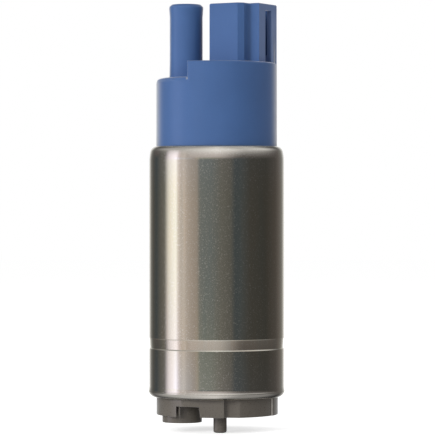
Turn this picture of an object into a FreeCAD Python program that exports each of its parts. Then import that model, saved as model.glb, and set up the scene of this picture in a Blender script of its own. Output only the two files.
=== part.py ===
# Electric in-tank fuel pump: a turbine pump and its motor in one crimped steel shell.
# Millimetres. The pump's axis is Z, the origin is on that axis at the tip of the strainer pin,
# X runs to the right as the pump faces the viewer, and Y runs away from the viewer.
import FreeCAD, Part
import math
import os

# Shell: a drawn tube with both ends rolled over the covers.
shell_r = 19.0
shell_wall = 1.4
shell_length = 70.6
top_roll_r = 2.4
top_lip_gap = 0.15
foot_roll_r = 2.05
foot_burr = 0.25
foot_lip_thick = 1.2
foot_lip_gap = 0.35
# Each rolled or rounded edge is made of this many conical bands.
roll_bands = 2

# Fits shared by the pieces inside the shell.
insert_gap = 0.1
running_gap = 0.03
float_gap = 0.02
slide_gap = 0.06

# How far a cutting shape runs past what it cuts.
overrun = 1.0

# Inlet cover: a disc with a shaped skirt, the inlet boss and the strainer pin below it.
pin_reach = 4.5
pin_r = 1.87
pin_x = 0.96
pin_y = -10.0
skirt_drop = 4.9
skirt_ledge = 0.55
skirt_wall = 1.3
cover_disc_thick = 4.9
boss_reach = 1.9
boss_r = 5.55
boss_inset = 0.666
boss_angle = -154.03
inlet_bore_r = 3.6
inlet_bore_deep = 9.0
facet_start_angle = 237.13
facet_end_angle = -82.88
facet_step = 1.85
recess_end_angle = -67.82
lug_start_angle = -26.26
lug_end_angle = 38.0
lug_slope_angle = 1.0
lug_rise = 0.25
window_left = 1.55
window_right = 4.75
window_slant = 0.35
window_height = 2.95
rib_left = 0.65
rib_thick = 0.45
rib_lift = 0.2
vent_r = 0.6
vent_angle = 60.0

# Pump stage: the casing with its side channel, and the vaned impeller in its pocket.
casing_thick = 8.5
casing_rim = 2.1
impeller_thick = 3.8
impeller_side_gap = 0.03
impeller_rim_gap = 0.1
vane_count = 24
vane_thick = 0.75
vane_length = 2.9
vane_slant = 0.8
channel_width = 3.1
channel_depth = 1.3
channel_start_angle = 206.0
channel_span_angle = 300.0
port_r = 1.5
port_inset_angle = 6.5

# Rotor: shaft, laminated core, windings and a flat-faced commutator. Shares are of the core's radius.
shaft_r = 2.0
shaft_flat = 0.5
shaft_flat_run = 0.2
core_air_gap = 0.7
core_foot_gap = 7.0
core_top_gap = 3.0
core_slots = 8
slot_opening = 1.6
slot_lip = 1.1
slot_root_share = 0.48
tooth_share = 0.1885
winding_inset = 0.35
winding_rise = 2.2
winding_bore_gap = 1.2
winding_edge = 1.47
commutator_rim = 0.8
commutator_bore_r = 4.0
commutator_hub_r = 6.5
commutator_height = 6.0
segment_thick = 2.4
segment_count = 8
segment_gap = 0.6

# Magnets: two ferrite arcs against the shell, pushed apart by two spring clips.
# Their thickness is a share of the shell's inner radius.
magnet_share = 0.2955
magnet_span = 148.0
magnet_foot_gap = 2.0
magnet_top_gap = 6.0
clip_sheet = 0.6
clip_end_gap = 2.0
clip_leg_gap = 0.8

# Bearings.
bearing_recess = 0.6
lower_bearing_r = 4.0
upper_bearing_r = 3.4
upper_bearing_length = 5.5
upper_bearing_inset = 1.5
shaft_end_rise = 0.6
shaft_end_gap = 1.0

# Outlet cover: the moulded cap with outlet pipe, socket tower, brush holders and the valve's bore.
cap_ledge = 0.5
plug_depth = 10.6
low_step_rise = 19.0
high_step_rise = 23.3
step_right = 0.51
low_edge_round = 1.2
high_edge_bevel = 0.35
pipe_inset = 8.42
pipe_r = 4.63
pipe_foot_flare = 0.1
pipe_foot_rise = 0.5
pipe_bead = 0.17
pipe_bead_height = 1.3
pipe_flare = 2.4
pipe_rim_bevel = 0.7
pipe_rise = 39.9
pipe_bore_r = 3.0
tower_top_gap = 0.1
tower_angle = -30.0
tower_left = 1.18
tower_front = -6.13
tower_right_inset = 2.2
tower_back_inset = 0.03
tower_ear = 3.13
tower_shoulder = -1.84
tower_chamfer = 1.43
tower_wall = 1.4
tower_floor = 2.2
tower_edge = 0.25
latch_low = 1.8
latch_high = 5.0
latch_bridge = 1.9
latch_deep = 2.2

# Terminals and brushes. A spring's turns are made of straight facets.
spring_facets = 6
blade_width = 2.8
blade_thick = 0.8
blade_height = 9.0
blade_tip_bevel = 0.3
blade_inset = 3.67
blade_front_v = -1.9
blade_rear_v = 4.1
foot_strip_width = 3.2
brush_reach = 2.0
brush_wide = 5.0
brush_deep = 4.0
brush_length = 9.0
brush_bevel = 0.3
brush_wall = 1.14
brush_pocket_deep = 18.0
brush_spring_r = 1.6
brush_spring_wire = 0.35
brush_spring_turns = 5

# Outlet check valve.
valve_travel = 2.0
valve_seat_rise = 16.0
valve_passage_r = 2.2
valve_head_r = 2.75
valve_head_thick = 1.0
valve_stem_r = 0.8
valve_stem_gap = 0.2
valve_spring_r = 2.05
valve_spring_wire = 0.4
valve_spring_turns = 4
valve_spring_length = 8.0
retainer_thick = 1.5
retainer_width = 2.6

# Heights that follow from the sizes above.
skirt_z = pin_reach
boss_z = skirt_z - boss_reach
foot_lip_z = skirt_z + skirt_drop
disc_low_z = foot_lip_z + foot_lip_thick
disc_high_z = disc_low_z + cover_disc_thick
inlet_high_z = boss_z + inlet_bore_deep
casing_high_z = disc_high_z + casing_thick
impeller_low_z = disc_high_z + impeller_side_gap
impeller_high_z = impeller_low_z + impeller_thick
pocket_high_z = impeller_high_z + impeller_side_gap
bearing_low_z = pocket_high_z + bearing_recess
shell_top_z = foot_lip_z + shell_length
flange_high_z = shell_top_z - shell_wall
plug_low_z = flange_high_z - plug_depth
commutator_high_z = plug_low_z - brush_reach
commutator_low_z = commutator_high_z - commutator_height
core_low_z = casing_high_z + core_foot_gap
core_high_z = commutator_low_z - core_top_gap
magnet_low_z = casing_high_z + magnet_foot_gap
magnet_high_z = plug_low_z - magnet_top_gap
shaft_low_z = disc_high_z + float_gap
upper_bearing_low_z = plug_low_z + upper_bearing_inset
upper_bearing_high_z = upper_bearing_low_z + upper_bearing_length
shaft_high_z = upper_bearing_high_z + shaft_end_rise
low_step_z = shell_top_z + low_step_rise
high_step_z = shell_top_z + high_step_rise
pipe_top_z = shell_top_z + pipe_rise
tower_top_z = pipe_top_z - tower_top_gap
tower_floor_z = high_step_z + tower_floor
brush_low_z = commutator_high_z + float_gap
brush_high_z = brush_low_z + brush_length
brush_roof_z = plug_low_z + brush_pocket_deep
valve_seat_z = plug_low_z + valve_seat_rise
valve_low_z = valve_seat_z + float_gap
valve_head_top_z = valve_low_z + valve_head_thick
retainer_low_z = valve_head_top_z + valve_spring_length
retainer_high_z = retainer_low_z + retainer_thick

# Radii and places that follow from the sizes above.
shell_in_r = shell_r - shell_wall
insert_r = shell_in_r - insert_gap
cap_r = insert_r - cap_ledge
top_lip_r = cap_r + top_lip_gap
skirt_r = insert_r - skirt_ledge
foot_lip_r = skirt_r + foot_lip_gap
magnet_out_r = shell_in_r - running_gap
magnet_in_r = magnet_out_r - magnet_share * shell_in_r
core_r = magnet_in_r - core_air_gap
slot_root_r = slot_root_share * core_r
tooth_width = tooth_share * core_r
winding_outer_r = core_r - winding_edge
winding_inner_r = slot_root_r - winding_bore_gap
pump_pocket_r = insert_r - casing_rim
impeller_r = pump_pocket_r - impeller_rim_gap
vane_root_r = impeller_r - vane_length
channel_inner_r = pump_pocket_r - channel_width
channel_mid_r = pump_pocket_r - channel_width / 2
channel_end_angle = channel_start_angle + channel_span_angle
brush_centre_r = upper_bearing_r + brush_wall + slide_gap + brush_deep / 2
commutator_r = brush_centre_r + brush_deep / 2 + commutator_rim
pipe_x = pipe_inset - cap_r
step_x = pipe_x + step_right
tower_right = cap_r - tower_right_inset
tower_back = math.sqrt(cap_r ** 2 - tower_right ** 2) - tower_back_inset
tower_neck = tower_right - tower_ear
blade_u = tower_neck - blade_inset

up = FreeCAD.Vector(0, 0, 1)
centre = FreeCAD.Vector(0, 0, 0)


def point(x, y, z=0.0):
    """A place, level with the origin unless its height is given."""
    return FreeCAD.Vector(x, y, z)


def polar(radius, degrees, z=0.0):
    """A place at a distance from the axis and an angle from +X."""
    angle = math.radians(degrees)
    return FreeCAD.Vector(radius * math.cos(angle), radius * math.sin(angle), z)


def turned(*corners):
    """Revolve a closed half section, given as (r, z) corners, about Z."""
    path = [point(r, 0, z) for r, z in corners]
    kept = [path[0]]
    for place in path[1:]:
        if place.distanceToPoint(kept[-1]) > 1e-6:
            kept.append(place)
    return Part.Face(Part.makePolygon(kept + kept[:1])).revolve(centre, up, 360)


def round_bar(radius, low, high, x=0.0, y=0.0):
    """An upright cylinder between two heights."""
    return Part.makeCylinder(radius, high - low, point(x, y, low), up)


def ring(outer, inner, low, high):
    """An upright tube between two heights."""
    return round_bar(outer, low, high).cut(round_bar(inner, low, high))


def block(x_low, x_high, y_low, y_high, low, high):
    """A box between two places along X, two along Y and two heights."""
    return Part.makeBox(x_high - x_low, y_high - y_low, high - low, point(x_low, y_low, low))


def prism(corners, low, high, slant=0.0):
    """Extrude a polygon of (x, y) corners between two heights, leaning along Y by a slant."""
    wire = Part.makePolygon([point(x, y, low) for x, y in corners + corners[:1]])
    return Part.Face(wire).extrude(point(0, slant, high - low))


def rounded(centre_r, centre_z, radius, from_angle, to_angle):
    """Points (r, z) round a half section's corner, which turn into conical bands."""
    points = []
    for number in range(roll_bands + 1):
        angle = math.radians(from_angle + (to_angle - from_angle) * number / roll_bands)
        points.append((centre_r + radius * math.cos(angle), centre_z + radius * math.sin(angle)))
    return points


def sector(outer, inner, low, high, from_angle, to_angle):
    """A ring's part between two angles."""
    half = (from_angle + to_angle) / 2
    edges = [
        Part.Arc(polar(outer, from_angle, low), polar(outer, half, low), polar(outer, to_angle, low)),
        Part.LineSegment(polar(outer, to_angle, low), polar(inner, to_angle, low)),
        Part.Arc(polar(inner, to_angle, low), polar(inner, half, low), polar(inner, from_angle, low)),
        Part.LineSegment(polar(inner, from_angle, low), polar(outer, from_angle, low)),
    ]
    face = Part.Face(Part.Wire([edge.toShape() for edge in edges]))
    return face.extrude(point(0, 0, high - low))


def repeated(shape, count):
    """The shape and its copies, evenly spaced about the axis."""
    copies = []
    for number in range(count):
        copy = shape.copy()
        copy.rotate(centre, up, 360.0 * number / count)
        copies.append(copy)
    return copies


def tower_point(u, v, z=0.0):
    """A place in the socket tower's own plan, turned about the pump's axis."""
    angle = math.radians(tower_angle)
    x = u * math.cos(angle) - v * math.sin(angle)
    y = u * math.sin(angle) + v * math.cos(angle)
    return FreeCAD.Vector(x, y, z)


def tower_prism(corners, low, high):
    """Extrude a polygon of corners (u, v) in the socket tower's own plan."""
    turned_corners = []
    for u, v in corners:
        place = tower_point(u, v)
        turned_corners.append((place.x, place.y))
    return prism(turned_corners, low, high)


def coil_spring(mean_r, wire, turns, low, high, x=0.0, y=0.0):
    """A compression spring of square wire that stands between two flat seats."""
    rise = high - low - wire
    half = wire / 2
    count = turns * spring_facets
    sections = []
    for number in range(count + 1):
        angle = 360.0 * number / spring_facets
        middle = low + half + rise * number / count
        corners = [
            polar(mean_r - half, angle, middle - half),
            polar(mean_r + half, angle, middle - half),
            polar(mean_r + half, angle, middle + half),
            polar(mean_r - half, angle, middle + half),
        ]
        sections.append(Part.makePolygon(corners + corners[:1]))
    spring = Part.makeLoft(sections, True, True)
    spring.translate(point(x, y))
    return spring


def make_shell():
    """The drawn tube, whose two rolled ends close over the covers."""
    top_centre_r = shell_r - top_roll_r
    top_centre_z = shell_top_z - top_roll_r
    lip_angle = math.degrees(math.acos((top_lip_r - top_centre_r) / top_roll_r))
    foot_out_r = shell_r + foot_burr
    foot_centre_r = foot_out_r - foot_roll_r
    foot_centre_z = foot_lip_z + foot_roll_r
    foot_angle = math.degrees(math.acos((foot_lip_r - foot_centre_r) / foot_roll_r))
    return turned(
        (shell_in_r, disc_low_z),
        (foot_lip_r, disc_low_z),
        *rounded(foot_centre_r, foot_centre_z, foot_roll_r, -foot_angle, 0),
        (shell_r, foot_centre_z + foot_burr),
        *rounded(top_centre_r, top_centre_z, top_roll_r, 0, lip_angle),
        (top_lip_r, flange_high_z),
        (shell_in_r, flange_high_z),
    )


def skirt_outline():
    """The inlet cover's outer line: a circle with a facet, a stepped recess and a raised lug."""
    facet_start = polar(skirt_r, facet_start_angle)
    facet_end = polar(skirt_r, facet_end_angle)
    step_foot = facet_end + point(0, facet_step)
    recess_end = polar(skirt_r, recess_end_angle)
    lug_start = polar(skirt_r, lug_start_angle)
    lug_end = polar(skirt_r, lug_end_angle)
    lug_r = skirt_r + lug_rise
    lug_low = polar(lug_r, lug_start_angle + lug_slope_angle)
    lug_high = polar(lug_r, lug_end_angle - lug_slope_angle)
    edges = [
        Part.LineSegment(facet_start, facet_end),
        Part.LineSegment(facet_end, step_foot),
        Part.LineSegment(step_foot, recess_end),
        Part.Arc(recess_end, polar(skirt_r, (recess_end_angle + lug_start_angle) / 2), lug_start),
        Part.LineSegment(lug_start, lug_low),
        Part.Arc(lug_low, polar(lug_r, (lug_start_angle + lug_end_angle) / 2), lug_high),
        Part.LineSegment(lug_high, lug_end),
        Part.Arc(lug_end, polar(skirt_r, (lug_end_angle + facet_start_angle) / 2), facet_start),
    ]
    return Part.Wire([edge.toShape() for edge in edges])


def make_inlet_cover():
    """The disc below the pump stage, with its open skirt, inlet boss and strainer pin."""
    outline = skirt_outline()
    height = point(0, 0, disc_low_z - skirt_z)
    skirt = Part.Face(outline).extrude(height)
    skirt = skirt.cut(Part.Face(outline.makeOffset2D(-skirt_wall)).extrude(height))
    skirt.translate(point(0, 0, skirt_z))
    boss_place = polar(skirt_r - boss_r - boss_inset, boss_angle)
    window_low_z = skirt_z - overrun
    window_high_z = skirt_z + window_height
    left_x = boss_place.x - window_left
    right_x = boss_place.x + window_right
    front_y = -skirt_r - overrun
    corners = [
        point(left_x, front_y, window_high_z),
        point(right_x, front_y, window_high_z),
        point(right_x + window_slant, front_y, skirt_z),
        point(right_x + window_slant, front_y, window_low_z),
        point(left_x, front_y, window_low_z),
    ]
    window = Part.Face(Part.makePolygon(corners + corners[:1])).extrude(point(0, boss_place.y - front_y))
    skirt = skirt.cut(window)
    disc = round_bar(insert_r, disc_low_z, disc_high_z)
    boss = round_bar(boss_r, boss_z, disc_low_z, boss_place.x, boss_place.y)
    rib_x = boss_place.x - rib_left
    rib_reach = math.sqrt((skirt_r - skirt_wall / 2) ** 2 - rib_x ** 2)
    rib = block(rib_x - rib_thick / 2, rib_x + rib_thick / 2, -rib_reach, boss_place.y,
                skirt_z + rib_lift, disc_low_z)
    pin = round_bar(pin_r, 0, disc_low_z, pin_x, pin_y)
    cover = disc.fuse([skirt, boss, rib, pin])
    port = polar(channel_mid_r, channel_start_angle)
    vent = polar(channel_mid_r, vent_angle)
    cuts = [
        round_bar(inlet_bore_r, boss_z, inlet_high_z, boss_place.x, boss_place.y),
        round_bar(port_r, inlet_high_z, disc_high_z, port.x, port.y),
        round_bar(vent_r, disc_low_z, disc_high_z, vent.x, vent.y),
    ]
    return cover.cut(cuts).removeSplitter()


def make_pump_casing():
    """The disc above the impeller, with its pocket, the side channel, the port and the bearing's seat."""
    port = polar(channel_mid_r, channel_end_angle - port_inset_angle)
    channel = sector(pump_pocket_r, channel_inner_r, pocket_high_z, pocket_high_z + channel_depth,
                     channel_start_angle - port_inset_angle, channel_end_angle)
    cuts = [
        round_bar(pump_pocket_r, disc_high_z, pocket_high_z),
        channel,
        round_bar(port_r, pocket_high_z, casing_high_z, port.x, port.y),
        round_bar(lower_bearing_r, pocket_high_z, casing_high_z),
    ]
    return round_bar(insert_r, disc_high_z, casing_high_z).cut(cuts).removeSplitter()


def vane_gap(low, high, slant):
    """The room between two vanes from one height to another, open at the impeller's rim."""
    half_pitch = math.pi / vane_count
    half_thick = vane_thick / 2
    rim = impeller_r + overrun
    corners = []
    for radius, side in ((vane_root_r, -1), (rim, -1), (rim, 1), (vane_root_r, 1)):
        x = radius * math.cos(half_pitch) + half_thick * math.sin(half_pitch)
        half_width = radius * math.sin(half_pitch) - half_thick * math.cos(half_pitch)
        corners.append((x, side * half_width))
    gap = prism(corners, low, high, slant)
    gap.translate(point(0, max(-slant, 0)))
    return gap


def make_impeller():
    """The turbine wheel, whose vanes lean forward from both faces and meet as a V at mid thickness."""
    middle_z = (impeller_low_z + impeller_high_z) / 2
    gap = vane_gap(impeller_low_z, middle_z, vane_slant).fuse(vane_gap(middle_z, impeller_high_z, -vane_slant))
    bore = shaft_section(shaft_r + slide_gap, impeller_low_z, impeller_high_z)
    return round_bar(impeller_r, impeller_low_z, impeller_high_z).cut([bore] + repeated(gap, vane_count))


def shaft_section(radius, low, high):
    """A round bar with the one flat that drives the impeller."""
    flat_x = radius - shaft_flat
    return round_bar(radius, low, high).cut(block(flat_x, radius + overrun, -radius, radius, low, high))


def make_shaft():
    """The rotor's shaft, with its drive flat at the impeller's end."""
    flat_high_z = impeller_high_z + shaft_flat_run
    return shaft_section(shaft_r, shaft_low_z, flat_high_z).fuse(round_bar(shaft_r, flat_high_z, shaft_high_z))


def slot_void(inset):
    """The room of one winding slot between two teeth, narrowed all round by an inset."""
    outer = core_r - slot_lip - inset
    inner = slot_root_r + inset
    half_pitch = math.pi / core_slots
    outer_half = outer * math.sin(half_pitch) - tooth_width / 2 - inset
    inner_half = inner * math.sin(half_pitch) - tooth_width / 2 - inset
    corners = [(inner, -inner_half), (outer, -outer_half), (outer, outer_half), (inner, inner_half)]
    return prism(corners, core_low_z, core_high_z)


def make_core():
    """A laminated core: teeth with wide tips and a winding slot between each two."""
    mouth = block((core_r + slot_root_r) / 2, core_r + overrun, -slot_opening / 2, slot_opening / 2,
                  core_low_z, core_high_z)
    slot = slot_void(0).fuse(mouth)
    return ring(core_r, shaft_r, core_low_z, core_high_z).cut(repeated(slot, core_slots))


def many_sided(radius, low, high, sides):
    """A prism whose corners lie evenly on a circle."""
    corners = []
    for number in range(sides):
        place = polar(radius, 360.0 * number / sides)
        corners.append((place.x, place.y))
    return prism(corners, low, high)


def make_windings():
    """Copper in the slots, carried over both ends of the core as straight runs from slot to slot."""
    fills = repeated(slot_void(winding_inset), core_slots)
    bundles = []
    for low in (core_low_z - winding_rise, core_high_z):
        high = low + winding_rise
        bundle = many_sided(winding_outer_r, low, high, core_slots)
        bundles.append(bundle.cut(many_sided(winding_inner_r, low, high, core_slots)))
    return bundles[0].fuse(fills + bundles[1:]).removeSplitter()


def make_commutator_hub():
    """The moulded hub that carries the segments, with one flat side under each."""
    low, high = commutator_low_z, commutator_high_z - segment_thick
    return many_sided(commutator_hub_r, low, high, segment_count).cut(round_bar(shaft_r, low, high))


def make_commutator_segments():
    """Flat copper segments, each parted from the next by a saw cut."""
    low, high = commutator_high_z - segment_thick, commutator_high_z
    pitch = 360.0 / segment_count
    wedge = sector(commutator_r, commutator_bore_r, low, high, 0, pitch)
    wedge = wedge.cut(many_sided(commutator_bore_r / math.cos(math.pi / segment_count), low, high, segment_count))
    saw = block(0, commutator_r + overrun, -segment_gap / 2, segment_gap / 2, low, high)
    saw_next = saw.copy()
    saw_next.rotate(centre, up, pitch)
    return Part.makeCompound(repeated(wedge.cut([saw, saw_next]), segment_count))


def make_magnet(middle_angle):
    """One ferrite arc, centred on an angle."""
    half = magnet_span / 2
    return sector(magnet_out_r, magnet_in_r, magnet_low_z, magnet_high_z,
                  middle_angle - half, middle_angle + half)


def make_magnet_clips():
    """Two U-shaped sheet springs, one in each gap between the magnets."""
    half_gap = (180 - magnet_span) / 2
    low = magnet_low_z + clip_end_gap
    high = magnet_high_z - clip_end_gap
    leg_angle = math.degrees(clip_sheet / magnet_in_r)
    clip = sector(magnet_out_r, magnet_out_r - clip_sheet, low, high, 90 - half_gap, 90 + half_gap)
    for start in (90 - half_gap, 90 + half_gap - leg_angle):
        leg = sector(magnet_out_r, magnet_in_r + clip_leg_gap, low, high, start, start + leg_angle)
        clip = clip.fuse(leg)
    return Part.makeCompound(repeated(clip.removeSplitter(), 2))


def tower_outline():
    """The socket tower's plan, with a bevelled corner at its narrow front."""
    return [
        (tower_left, tower_front),
        (tower_neck - tower_chamfer, tower_front),
        (tower_neck, tower_front + tower_chamfer),
        (tower_neck, tower_shoulder),
        (tower_right, tower_shoulder),
        (tower_right, tower_back),
        (tower_left, tower_back),
    ]


def socket_outline():
    """The tower's outline moved inwards by its wall."""
    bevel = tower_chamfer - tower_wall * (2 - math.sqrt(2))
    return [
        (tower_left + tower_wall, tower_front + tower_wall),
        (tower_neck - tower_wall - bevel, tower_front + tower_wall),
        (tower_neck - tower_wall, tower_front + tower_wall + bevel),
        (tower_neck - tower_wall, tower_shoulder + tower_wall),
        (tower_right - tower_wall, tower_shoulder + tower_wall),
        (tower_right - tower_wall, tower_back - tower_wall),
        (tower_left + tower_wall, tower_back - tower_wall),
    ]


def make_terminal(v, brush_side):
    """A blade in the socket, cast into the cap, whose foot is the seat of one brush spring."""
    blade_top_z = tower_floor_z + blade_height
    foot_high_z = brush_roof_z + blade_thick
    half_width = blade_width / 2
    half_thick = blade_thick / 2
    blade = tower_prism([
        (blade_u - half_thick, v - half_width),
        (blade_u + half_thick, v - half_width),
        (blade_u + half_thick, v + half_width),
        (blade_u - half_thick, v + half_width),
    ], brush_roof_z, blade_top_z)
    tip_edges = [edge for edge in blade.Edges if edge.BoundBox.ZMin > (foot_high_z + blade_top_z) / 2]
    blade = blade.makeChamfer(blade_tip_bevel, tip_edges)
    blade_place = tower_point(blade_u, v)
    brush_y = brush_side * brush_centre_r
    run = math.hypot(blade_place.x, blade_place.y - brush_y)
    half_strip = foot_strip_width / 2
    strip = block(0, run + half_strip, -half_strip, half_strip, brush_roof_z, foot_high_z)
    strip.rotate(centre, up, math.degrees(math.atan2(blade_place.y - brush_y, blade_place.x)))
    strip.translate(point(0, brush_y))
    pad = block(-brush_wide / 2, brush_wide / 2, brush_y - brush_deep / 2, brush_y + brush_deep / 2,
                brush_roof_z, foot_high_z)
    return blade.fuse([strip, pad]).removeSplitter()


def make_outlet_cover(terminals):
    """The moulded cap: two levels, the outlet pipe, the socket tower and the rooms inside."""
    low_body = turned(
        (0, plug_low_z),
        (insert_r, plug_low_z),
        (insert_r, flange_high_z),
        (cap_r, flange_high_z),
        *rounded(cap_r - low_edge_round, low_step_z - low_edge_round, low_edge_round, 0, 90),
        (0, low_step_z),
    )
    high_body = turned(
        (0, flange_high_z),
        (cap_r, flange_high_z),
        (cap_r, high_step_z - high_edge_bevel),
        (cap_r - high_edge_bevel, high_step_z),
        (0, high_step_z),
    )
    high_body = high_body.common(block(step_x, cap_r, -cap_r, cap_r, flange_high_z, high_step_z))
    bead_r = pipe_r + pipe_bead
    bead_z = pipe_top_z - pipe_bead_height
    pipe = turned(
        (0, low_step_z - overrun),
        (pipe_r + pipe_foot_flare, low_step_z - overrun),
        (pipe_r + pipe_foot_flare, low_step_z),
        (pipe_r, high_step_z + pipe_foot_rise),
        (pipe_r, bead_z - pipe_flare),
        (bead_r, bead_z),
        (bead_r, pipe_top_z - pipe_rim_bevel),
        (bead_r - pipe_rim_bevel, pipe_top_z),
        (0, pipe_top_z),
    )
    pipe.translate(point(pipe_x, 0))
    tower = tower_prism(tower_outline(), low_step_z, tower_top_z)
    rim_edges = [edge for edge in tower.Edges if edge.BoundBox.ZMin > high_step_z]
    tower = tower.makeChamfer(tower_edge, rim_edges)
    cover = low_body.fuse([high_body, pipe, tower])
    latch_top_z = tower_top_z - latch_bridge
    cuts = [
        tower_prism(socket_outline(), tower_floor_z, tower_top_z),
        tower_prism([
            (tower_right - latch_deep, latch_low),
            (tower_right + overrun, latch_low),
            (tower_right + overrun, latch_high),
            (tower_right - latch_deep, latch_high),
        ], high_step_z, latch_top_z),
        round_bar(pipe_bore_r, valve_seat_z, pipe_top_z, pipe_x, 0),
        round_bar(valve_passage_r, plug_low_z, valve_seat_z, pipe_x, 0),
        round_bar(upper_bearing_r, plug_low_z, shaft_high_z + shaft_end_gap),
    ]
    for side in (-1, 1):
        brush_y = side * brush_centre_r
        half_x = brush_wide / 2 + slide_gap
        half_y = brush_deep / 2 + slide_gap
        cuts.append(block(-half_x, half_x, brush_y - half_y, brush_y + half_y, plug_low_z, brush_roof_z))
    return cover.cut(cuts).cut(terminals).removeSplitter()


def make_brush(side):
    """A carbon block with bevelled corners, which slides in its pocket of the cap."""
    half_x = brush_wide / 2
    half_y = brush_deep / 2
    brush_y = side * brush_centre_r
    body = block(-half_x, half_x, brush_y - half_y, brush_y + half_y, brush_low_z, brush_high_z)
    corner_edges = []
    for edge in body.Edges:
        if edge.BoundBox.ZMax - edge.BoundBox.ZMin > brush_length / 2:
            corner_edges.append(edge)
    return body.makeChamfer(brush_bevel, corner_edges)


def make_valve_poppet():
    """A flat-seated check valve with a guide stem above its disc."""
    stem_top_z = retainer_high_z - valve_stem_gap
    poppet = turned(
        (0, valve_low_z),
        (valve_head_r, valve_low_z),
        (valve_head_r, valve_head_top_z),
        (valve_stem_r, valve_head_top_z),
        (valve_stem_r, stem_top_z),
        (0, stem_top_z),
    )
    poppet.translate(point(pipe_x, 0))
    return poppet


def make_valve_retainer():
    """A bridge pressed across the outlet bore, with a guide hole for the valve's stem."""
    bridge = round_bar(pipe_bore_r, retainer_low_z, retainer_high_z)
    bridge = bridge.common(block(-pipe_bore_r, pipe_bore_r, -retainer_width / 2, retainer_width / 2,
                                 retainer_low_z, retainer_high_z))
    bridge = bridge.cut(round_bar(valve_stem_r + slide_gap, retainer_low_z, retainer_high_z))
    bridge.translate(point(pipe_x, 0))
    return bridge


def make_brush_spring(side):
    """The spring between a brush and its terminal's foot."""
    return coil_spring(brush_spring_r, brush_spring_wire, brush_spring_turns, brush_high_z, brush_roof_z,
                       0, side * brush_centre_r)


def make_valve_spring():
    """The spring between the valve's disc and its retainer."""
    return coil_spring(valve_spring_r, valve_spring_wire, valve_spring_turns, valve_head_top_z, retainer_low_z,
                       pipe_x, 0)


def make_parts():
    """Every piece of the pump, by its name."""
    terminal_front = make_terminal(blade_front_v, -1)
    terminal_rear = make_terminal(blade_rear_v, 1)
    return {
        "shell": make_shell(),
        "inlet_cover": make_inlet_cover(),
        "pump_casing": make_pump_casing(),
        "lower_bearing": ring(lower_bearing_r, shaft_r + running_gap, bearing_low_z, casing_high_z),
        "impeller": make_impeller(),
        "shaft": make_shaft(),
        "armature_core": make_core(),
        "armature_windings": make_windings(),
        "commutator_hub": make_commutator_hub(),
        "commutator_segments": make_commutator_segments(),
        "magnet_left": make_magnet(180),
        "magnet_right": make_magnet(0),
        "magnet_clips": make_magnet_clips(),
        "upper_bearing": ring(upper_bearing_r, shaft_r + running_gap,
                              upper_bearing_low_z, upper_bearing_high_z),
        "outlet_cover": make_outlet_cover([terminal_front, terminal_rear]),
        "terminal_front": terminal_front,
        "terminal_rear": terminal_rear,
        "brush_front": make_brush(-1),
        "brush_rear": make_brush(1),
        "brush_spring_front": make_brush_spring(-1),
        "brush_spring_rear": make_brush_spring(1),
        "outlet_valve_poppet": make_valve_poppet(),
        "outlet_valve_spring": make_valve_spring(),
        "outlet_valve_retainer": make_valve_retainer(),
    }


def main():
    """Write each piece as a STEP file and print what it is."""
    os.makedirs("parts", exist_ok=True)
    for name, shape in make_parts().items():
        shape.exportStep("parts/" + name + ".step")
        print(name, "solids", len(shape.Solids), "valid", shape.isValid(), "volume", round(shape.Volume, 1))


main()
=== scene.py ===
"""An electric in-tank fuel pump, dressed for its photograph: its skins, finishes, stage and camera."""

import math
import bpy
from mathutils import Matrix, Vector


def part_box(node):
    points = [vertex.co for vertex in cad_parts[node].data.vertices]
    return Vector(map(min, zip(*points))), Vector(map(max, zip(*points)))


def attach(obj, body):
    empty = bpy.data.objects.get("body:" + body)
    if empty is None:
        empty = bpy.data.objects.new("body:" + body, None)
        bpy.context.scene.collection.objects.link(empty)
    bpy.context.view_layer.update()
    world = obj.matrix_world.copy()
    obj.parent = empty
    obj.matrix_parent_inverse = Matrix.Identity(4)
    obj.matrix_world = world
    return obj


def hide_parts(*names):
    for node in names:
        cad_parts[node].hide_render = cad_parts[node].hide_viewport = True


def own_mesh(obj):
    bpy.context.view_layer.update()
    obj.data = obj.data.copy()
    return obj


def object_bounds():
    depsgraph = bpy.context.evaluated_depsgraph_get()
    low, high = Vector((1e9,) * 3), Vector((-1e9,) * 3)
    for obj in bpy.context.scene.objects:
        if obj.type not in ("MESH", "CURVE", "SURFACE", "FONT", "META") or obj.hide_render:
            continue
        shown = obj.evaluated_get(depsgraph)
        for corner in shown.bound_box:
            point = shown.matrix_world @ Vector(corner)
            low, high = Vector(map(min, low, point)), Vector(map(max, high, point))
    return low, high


bl_info = {
    "name": "Electric Fuel Pump",
    "version": (1, 0, 0),
    "blender": (4, 5, 0),
    "location": "3D View > Sidebar > Fuel Pump",
    "description": "Dresses the packed fuel pump and sets up its stage",
    "category": "Object",
}

import bmesh
import bpy
from mathutils import Matrix, Vector

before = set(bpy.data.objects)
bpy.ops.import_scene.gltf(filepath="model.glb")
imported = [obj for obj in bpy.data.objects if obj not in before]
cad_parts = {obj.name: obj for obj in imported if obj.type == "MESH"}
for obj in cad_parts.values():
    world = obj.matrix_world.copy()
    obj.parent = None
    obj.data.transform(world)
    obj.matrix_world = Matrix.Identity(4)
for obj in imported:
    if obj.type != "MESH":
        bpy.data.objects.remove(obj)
cad_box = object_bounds()
shell_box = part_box("shell")

MM = 0.001


# Kinds of setting

def length(name, description, value):
    """A length in metres."""
    return bpy.props.FloatProperty(name=name, description=description, default=value, unit="LENGTH")


def slant(name, description, degrees):
    """An angle, given in degrees and kept in radians."""
    return bpy.props.FloatProperty(
        name=name, description=description, default=math.radians(degrees), subtype="ANGLE")


def count(name, description, value, least):
    """A whole number of facets or turns."""
    return bpy.props.IntProperty(name=name, description=description, default=value, min=least)


def power(name, description, watts):
    """A lamp's power in watts."""
    return bpy.props.FloatProperty(name=name, description=description, default=watts, subtype="POWER")


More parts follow.
